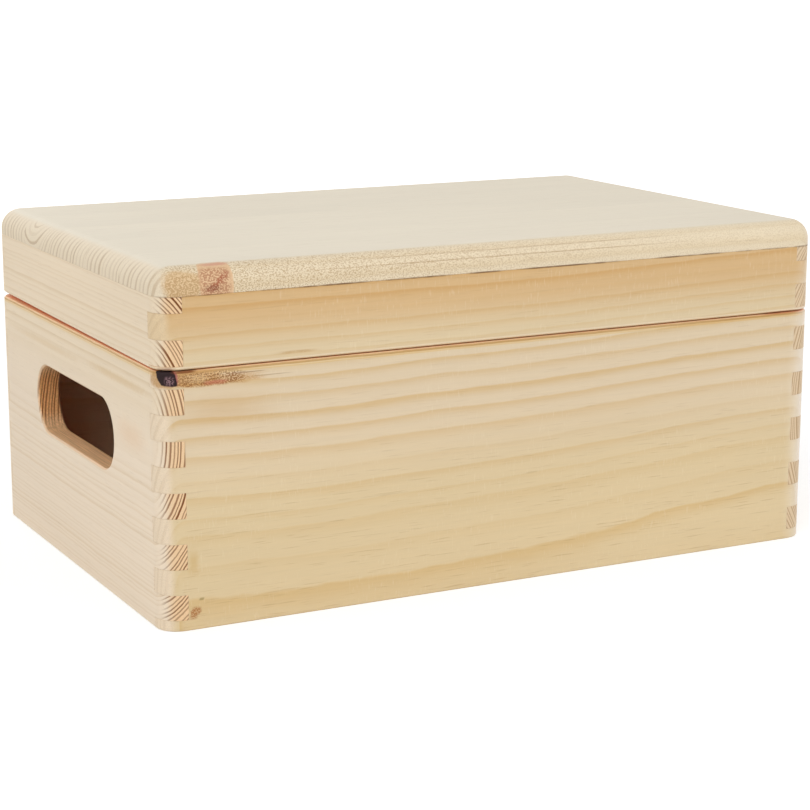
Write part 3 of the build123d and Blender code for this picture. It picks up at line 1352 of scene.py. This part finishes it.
@dataclass
class WoodScrews:
    """Countersunk wood screws with a cross recess, modelled once.

    Args:
        head_radius: The head's radius.
        head_depth: The height of its cone.
        shank_radius: The shank's radius.
        length: The whole length.
        point: The length of the point.
        point_share: The share of the shank's radius that is left at the tip.
        recess_length: The length of the cross.
        recess_width: The width of its arms.
        recess_depth: Its depth.
        recess_foot: The shares of length and width that are left at its foot.
        sides: The sides of the round.
        columns: Where the screws stand along the box, in millimetres.
        row: How far behind the middle they stand, in millimetres.
        turns: How far each one's cross is turned, in degrees.
        joinery: How they are softened.
    """

    head_radius: float = 1.8 * MM
    head_depth: float = 0.8 * MM
    shank_radius: float = 1.0 * MM
    length: float = 9.0 * MM
    point: float = 2.0 * MM
    point_share: float = 0.12
    recess_length: float = 2.1 * MM
    recess_width: float = 0.5 * MM
    recess_depth: float = 0.5 * MM
    recess_foot: tuple[float, float] = (0.45, 0.6)
    sides: int = 48
    columns: tuple[float, ...] = (-99.0, -81.0, 81.0, 99.0)
    row: float = 95.0
    turns: tuple[float, ...] = (20.0, 63.0, 41.0, 8.0)
    joinery: Joinery = field(default_factory=lambda: Joinery(arris=0.05 * MM, bevel_angle=35.0))

    def model(self) -> bpy.types.Object:
        """Models one screw with its head's top at the origin, pointing down.

        Returns:
            The screw.
        """
        deselect_all()
        bpy.ops.mesh.primitive_cone_add(
            vertices=self.sides,
            radius1=self.shank_radius,
            radius2=self.head_radius,
            depth=self.head_depth,
            location=(0.0, 0.0, -self.head_depth / 2),
        )
        screw = bpy.context.object
        screw.name = "wood_screw"
        place_mesh(screw)
        bpy.ops.object.mode_set(mode="EDIT")
        near = 0.01 * MM - self.head_depth
        pick(screw, Part.FACES, lambda centre, normal: normal.z < -0.9 and centre.z < near)
        for drop in (self.length - self.head_depth - self.point, self.point):
            bpy.ops.mesh.extrude_region_move(TRANSFORM_OT_translate={"value": (0.0, 0.0, -drop)})
        shares = (self.point_share, self.point_share, 1.0)
        bpy.ops.transform.resize(value=shares, center_override=(0.0, 0.0, -self.length))
        bpy.ops.object.mode_set(mode="OBJECT")
        for turn in (0.0, 90.0):
            carve(screw, self.recess_arm(turn))
        return self.joinery.soften(screw)

    def recess_arm(self, turn: float) -> bpy.types.Object:
        """Makes the cutter for one arm of the cross, narrower at its foot.

        Args:
            turn: The way that the arm points, in degrees.

        Returns:
            The cutter.
        """
        arm = add_block((self.recess_length, self.recess_width, self.recess_depth * 2))
        bpy.ops.object.mode_set(mode="EDIT")
        pick(arm, Part.FACES, lambda centre, normal: normal.z < -0.9)
        shares, foot = (*self.recess_foot, 1.0), (0.0, 0.0, -self.recess_depth)
        bpy.ops.transform.resize(value=shares, center_override=foot)
        bpy.ops.object.mode_set(mode="OBJECT")
        arm.rotation_euler = (0.0, 0.0, math.radians(turn))
        place_mesh(arm)
        return arm

    def build(self, finish: bpy.types.Material) -> None:
        """Copies the screw into both rows and removes the first one.

        Args:
            finish: The screws' brass.
        """
        pattern = self.model()
        for node, body, tilt in (("body_hinge_screws", Body.BOX, 0.0), ("lid_hinge_screws", Body.LID, 180.0)):
            low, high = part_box(node)
            head = high[2] if body is Body.BOX else low[2]
            copies = []
            for x, turn in zip(self.columns, self.turns):
                screw = add_object(f"{node}_crossed", pattern.data.copy())
                screw.location = (x * MM, self.row * MM, head)
                screw.rotation_euler = (math.radians(tilt), 0.0, math.radians(turn))
                place_mesh(screw)
                copies.append(screw)
            activate(copies[0])
            for screw in copies:
                screw.select_set(True)
            bpy.ops.object.join()
            settle(copies[0], node, body, finish)
        remove(pattern)


@dataclass(frozen=True)
class Softbox:
    """A square lamp that faces the box: its centre and its side in metres, and its power in watts."""

    name: str
    place: Place
    size: float
    power: float


@dataclass
class Studio:
    """The floor, the lights and the camera. Lengths are in metres and angles in degrees.

    Args:
        floor_size: The floor's side.
        floor_colour: Its colour.
        glow_span: From how far from the middle to how far its glow changes.
        glow: How strongly it glows near the box and far from it, where the camera sees it.
        world: The even light's strength.
        softboxes: The lamps.
        lens: The camera's lens in millimetres.
        clip: The nearest and the farthest that it sees.
        azimuth: How far it stands to the right of the front.
        elevation: How high it stands.
        distance: How far it stands from its target.
        target: What it looks at.
    """

    floor_size: float = 40.0
    floor_colour: Colour = (0.8, 0.8, 0.8)
    glow_span: tuple[float, float] = (0.35, 1.6)
    glow: tuple[float, float] = (0.40, 0.66)
    world: float = 0.57
    softboxes: tuple[Softbox, ...] = (
        Softbox("key_softbox", (-1.4, -1.15, 1.35), 1.3, 14.6),
        Softbox("fill_softbox", (1.2, -1.6, 0.9), 1.4, 12.2),
        Softbox("back_softbox", (-0.2, 1.95, 0.5), 0.9, 10.0),
    )
    lens: float = 96.6
    clip: tuple[float, float] = (0.05, 60.0)
    azimuth: float = -27.11
    elevation: float = 12.49
    distance: float = 0.9626
    target: Place = (0.0013, -0.0044, 0.0551)

    def build(self) -> None:
        """Sets up everything that isn't the box."""
        self.lay_floor()
        self.light()
        self.set_camera()

    def lay_floor(self) -> None:
        """Adds a plain pale floor that the camera sees as white apart from the box's shadow."""
        deselect_all()
        bpy.ops.mesh.primitive_plane_add(size=self.floor_size, location=(0.0, 0.0, 0.0))
        floor = bpy.context.object
        floor.name = "floor"
        material, graph = new_material("pale floor")
        diffuse = graph.node("ShaderNodeBsdfDiffuse", inputs={"Color": self.floor_colour})
        away = graph.vector("LENGTH", graph.node("ShaderNodeTexCoord").outputs["Object"])
        strength = graph.ramp(away, *self.glow_span, *self.glow)
        seen = graph.times(graph.is_ray("Camera", "Glossy"), strength)
        glow = graph.node("ShaderNodeEmission", inputs={"Strength": seen})
        both = graph.node("ShaderNodeAddShader", diffuse.outputs[0], glow.outputs[0])
        graph.node("ShaderNodeOutputMaterial", inputs={"Surface": both.outputs[0]})
        floor.data.materials.append(material)

    def light(self) -> None:
        """Hangs the softboxes and fills the rest with even light."""
        world = bpy.data.worlds.new("studio")
        bpy.context.scene.world = world
        world.use_nodes = True
        graph = Graph(world.node_tree)
        seen = graph.is_ray("Camera", "Glossy", "Transmission")
        light = {"Color": (1.0, 1.0, 1.0), "Strength": graph.ramp(seen, 0.0, 1.0, self.world, 1.0)}
        background = graph.node("ShaderNodeBackground", inputs=light)
        graph.node("ShaderNodeOutputWorld", inputs={"Surface": background.outputs[0]})
        for box in self.softboxes:
            lamp = bpy.data.lights.new(box.name, "AREA")
            lamp.size, lamp.energy = box.size, box.power
            self.hang(lamp, Vector(box.place), Vector(self.target) - Vector(box.place))

    def set_camera(self) -> None:
        """Places the camera at the photograph's angle."""
        camera = bpy.data.cameras.new("camera")
        camera.lens = self.lens
        camera.clip_start, camera.clip_end = self.clip
        turn, rise = math.radians(self.azimuth), math.radians(self.elevation)
        back = Vector((math.sin(turn) * math.cos(rise), -math.cos(turn) * math.cos(rise), math.sin(rise)))
        bpy.context.scene.camera = self.hang(camera, Vector(self.target) + back * self.distance, -back)

    def hang(self, data: bpy.types.ID, place: Vector, way: Vector) -> bpy.types.Object:
        """Adds a lamp or a camera.

        Args:
            data: The lamp or the camera.
            place: Where it hangs.
            way: The direction that it faces.

        Returns:
            Its object.
        """
        holder = add_object(data.name, data)
        holder.location = place
        holder.rotation_euler = way.to_track_quat("-Z", "Y").to_euler()
        return holder


# The saw took this much between body and lid, in millimetres
SAW_KERF = 1.5

# Each ring that shows on the front, from the pith outwards
FRONT_RINGS = tuple(Ring(*row) for row in (
    (148.0, 0.0), (155.4, 0.3), (156.55, 0.85), (158.2, 0.28), (160.7, 0.42), (162.3, 0.36),
    (164.7, 0.6), (167.0, 0.3), (170.6, 0.7), (173.7, 0.85), (177.0, 1.15), (180.5, 0.75),
    (183.8, 0.95), (186.0, 0.5), (188.5, 0.45), (191.4, 0.5), (194.4, 0.6), (197.3, 0.15),
    (200.8, 0.9), (203.9, 0.9), (207.0, 0.5), (210.4, 0.7), (214.0, 0.5),
))
FRONT_PLANK = Plank(
    GrainAxis.ALONG_BOX,
    (0.0, -256.0, 0.0),
    wander=1.2,
    seed=1.3,
    sag=(-88.0, 75.0, 1.9),
    taper=(-20.0, 155.0, -2.1),
    rings=FRONT_RINGS,
)
LID_FRONT_PLANK = replace(FRONT_PLANK.lowered(SAW_KERF), sag=Plank.sag)
LEFT_PLANK = Plank(GrainAxis.ACROSS_BOX, (-209.5, 0.0, 75.0), ring_width=1.36, wander=3.0, seed=4.1)
BACK_PLANK = Plank(GrainAxis.ALONG_BOX, (0.0, 190.0, 20.0), turn=1.0, dip=0.6, ring_width=2.6, seed=7.7)
RIGHT_PLANK = Plank(GrainAxis.ACROSS_BOX, (230.0, 0.0, 58.0), turn=0.5, dip=0.4, ring_width=1.5, seed=9.2)

# Each stave's pith across the box and above the floor, and the width of its rings, from the front backwards
STAVE_PITHS = (
    (0.0, 165.0, 4.0),
    (60.0, 160.0, 4.0),
    (80.0, 165.0, 3.8),
    (49.0, 147.0, 3.0),
    (38.0, 133.0, 4.0),
)

# Each mark's centre, size, colour, strength, raggedness and softness, and by name what only some have
# A painted highlight: near-white over the right front rounding, where light falls brightest on the corner
PAINTED_CORNER_HIGHLIGHT = Mark((154, -98, 52), (18, 14, 100), "#f6ece0", 0.9, 0.1, 0.8)
# A painted glow: the orange of light bouncing in the seam's gap, painted on both boards at its right end
PAINTED_SEAM_GLOW = Mark((134, -100, 101.2), (15, 4, 0.75), "#b85c24", 0.7, 0.3, 0.6)
FRONT_MARKS = (
    Mark((-124, -100, 85), (27, 4, 9), "#ca9c58", 0.28, 0.3, 0.95),
    Mark((-137.6, -100, 27), (3.2, 4, 6.5), "#c9a050", 0.4, 0.6, 0.95),
    Mark((-135, -100, 97.8), (11, 6, 3.7), "#cb9c60", 0.85, 0.4, 0.35),
    Mark((-124, -100, 96.6), (20, 6, 2.4), "#c28f4c", 0.8, 0.6, 0.6, dotted=0.4),
    Mark((-130, -100, 97.4), (18, 6, 3.4), "#85501f", 0.9, 0.5, 0.5, dotted=0.95),
    Mark((-130.5, -100, 97.9), (13, 6, 2.8), "#f0cf9c", 0.5, 0.5, 0.6, fibrous=0.9),
    Mark((-127.5, -100, 95.7), (6, 6, 1.2), "#c07458", 0.8, 0.6, 0.6, fibrous=0.35),
    Mark((-114, -100, 98.4), (9, 4, 0.28), "#8f6440", 0.6, 0.3, 0.6),
    Mark((-105, -100, 96.6), (11, 4, 0.26), "#9c7850", 0.45, 0.3, 0.6),
    Mark((-147.4, -98, 98.2), (4.6, 8, 4.4), "#c0935c", 0.9, 0.4, 0.35, fibrous=0.2),
    Mark((-145.9, -98.7, 100.6), (3.6, 4.9, 5.7), "#a4585a", 0.85, 0.2, 0.25, lean=-0.26),
    Mark((-146.4, -98.7, 100.4), (3.1, 4.6, 5.3), "#1e0508", 1.0, 0.2, 0.12, lean=-0.26, squareness=6.0),
    Mark((-145.2, -98.7, 97.4), (2, 4.6, 2.3), "#b48c92", 0.5, 0.4, 0.6, dotted=0.95),
    Mark((-139.6, -100, 100.7), (6, 4, 0.8), "#76390f", 0.85, 0.4, 0.6),
    Mark((-137.4, -100, 6.8), (2.5, 4, 2.9), "#a8652a", 0.85, 1.0, 0.5, lean=0.4, dotted=0.6),
    Mark((-134.6, -100, 12), (1.3, 3, 0.7), "#8c7a40", 0.6, 0.4, 0.6, lean=0.4),
    PAINTED_CORNER_HIGHLIGHT,
    PAINTED_SEAM_GLOW,
)
LID_FRONT_MARKS = (
    Mark((-94, -100, 104.4), (11, 4, 0.9), "#b5843f", 0.5, 0.5, 0.8, fibrous=0.4),
    Mark((-146.5, -99, 101.6), (4, 5, 1.4), "#8a4a34", 0.6, 0.5, 0.7),
    PAINTED_CORNER_HIGHLIGHT,
    PAINTED_SEAM_GLOW,
)
FRONT_EDGE_MARKS = (
    Mark((-139.3, -98, 133), (8.4, 9, 6), "#dfc094", 0.85, 0.4, 0.3),
    Mark((-139.3, -98, 132.5), (8.6, 9, 6.4), "#a87c44", 0.55, 0.4, 0.4, dotted=0.95),
    Mark((-125.9, -98, 133.6), (7, 9, 6.4), "#e2bc92", 0.85, 0.1, 0.08, squareness=7.0),
    Mark((-126.4, -98, 133.2), (7.2, 9, 6.4), "#a05a36", 0.62, 0.3, 0.35, dotted=0.95, squareness=5.0),
    Mark((-125, -99, 133.6), (2.2, 7, 5), "#a04c30", 0.6, 0.5, 0.6, lean=1.1, dotted=0.5),
    Mark((-127.6, -99, 131.2), (4, 7, 1.7), "#7c3a24", 0.6, 0.6, 0.6, dotted=0.5),
    Mark((-125.2, -94, 139), (7.2, 2, 1), "#cf9580", 0.7, 0.3, 0.5),
    Mark((-3, -99.2, 134.9), (107, 2, 0.34), "#a07c50", 0.55, 0.15, 0.6, fibrous=0.5),
    Mark((-2, -97.2, 137.5), (106, 2, 0.34), "#a8865a", 0.45, 0.15, 0.6, fibrous=0.5),
)
LEFT_MARKS = (
    Mark((-150, -55, 91), (6, 46, 2.4), "#dcbd8c", 0.5, 0.6, 0.8),
    Mark((-150, 35, 89.5), (6, 60, 2), "#dcbd8c", 0.35, 0.6, 0.8),
    Mark((-150, -68, 71), (6, 22, 8), "#ecc9a4", 0.45, 0.5, 0.95),
)

FRONT_FINISH = PineFinish(
    sapwood="#e0ccad",
    heartwood="#e0caa1",
    heart_below=(78.0, 40.0, 1.0),
    # Its pale end grain, from end_from on, is partly the end grain's own tone and partly painted: the cream
    # of strong light on the rounded corners
    end_early="#f0dcc0",
    end_late="#b08a58",
    end_contrast=0.16,
    end_from=0.34,
    streaks=(0.24, 0.12),
    marks=FRONT_MARKS,
)
LID_FRONT_FINISH = replace(
    FRONT_FINISH,
    sapwood="#dfcaa5",
    heartwood="#d8b584",
    heart_above=(104.0, 123.0, 1.0),
    heart_below=PineFinish.heart_below,
    end_early="#e6cda6",
    streaks=(0.12, 0.12),
    marks=LID_FRONT_MARKS,
)
BACK_FINISH = replace(FRONT_FINISH, marks=(), heart_below=PineFinish.heart_below, sapwood="#e8d4b4")
# Its paler sapwood is partly the boards' own tone and partly painted: the stronger light on the box's left
# side; the right boards share it
LEFT_FINISH = PineFinish(
    sapwood="#f4e2ca",
    heartwood="#e4cea2",
    heart_above=(58.0, 96.0, 0.25),
    late_tint=(0.88, 0.83, 0.74),
    end_early="#f0cda2",
    end_late="#7a461c",
    face_contrast=0.85,
    marks=LEFT_MARKS,
)
LID_LEFT_FINISH = replace(LEFT_FINISH, marks=())
RIGHT_FINISH = replace(LID_LEFT_FINISH, end_early="#e0c8a6", end_late="#9a6c3e", end_contrast=0.6)
STAVE_FINISH = PineFinish(
    sapwood="#ece2ce",
    late_tint=(0.93, 0.89, 0.82),
    end_early="#ebdbc0",
    end_late="#9c7440",
    face_contrast=0.18,
    end_contrast=0.5,
    end_spread=0.9,
    end_from=0.3,
)
EDGE_STAVE_FINISH = replace(STAVE_FINISH, porous=0.62, marks=FRONT_EDGE_MARKS)

BODY_BOARDS = (
    Board("front_board", FRONT_PLANK, FRONT_FINISH),
    Board("back_board", BACK_PLANK, BACK_FINISH),
    Board("left_board", LEFT_PLANK, LEFT_FINISH),
    Board("right_board", RIGHT_PLANK, RIGHT_FINISH),
)
STAVES = tuple(
    Board(
        f"lid_stave_{number}",
        Plank(GrainAxis.ALONG_BOX, (0.0, across, above), ring_width=width, seed=10.0 + number),
        EDGE_STAVE_FINISH if number == 1 else STAVE_FINISH,
    )
    for number, (across, above, width) in enumerate(STAVE_PITHS, start=1)
)
LID_BOARDS = (
    Board("lid_front_board", LID_FRONT_PLANK, LID_FRONT_FINISH),
    Board("lid_back_board", BACK_PLANK.lowered(SAW_KERF), BACK_FINISH),
    Board("lid_left_board", LEFT_PLANK.lowered(SAW_KERF), LID_LEFT_FINISH),
    Board("lid_right_board", RIGHT_PLANK.lowered(SAW_KERF), RIGHT_FINISH),
    *STAVES,
)


def main() -> None:
    """Builds the box's dressed pieces and the studio."""
    logging.basicConfig(level=logging.INFO, format="%(message)s")
    bpy.context.scene.view_settings.view_transform = "Standard"
    materials = Materials(Cuts.from_frame())
    joinery = Joinery()
    Boards(Body.BOX, BODY_BOARDS).build(joinery, materials)
    Bottom().build(joinery, materials)
    Boards(Body.LID, LID_BOARDS).build(joinery, materials)
    hinge_brass = materials.brass("hinge brass", "#dcb672", "#a97f42", 1.0)
    for side in Side:
        ButtHinge(side).build(hinge_brass)
    WoodScrews().build(materials.brass("screw brass", "#d9b46e", "#9c7440", 2.0))
    Studio().build()


if __name__ == "__main__":
    main()
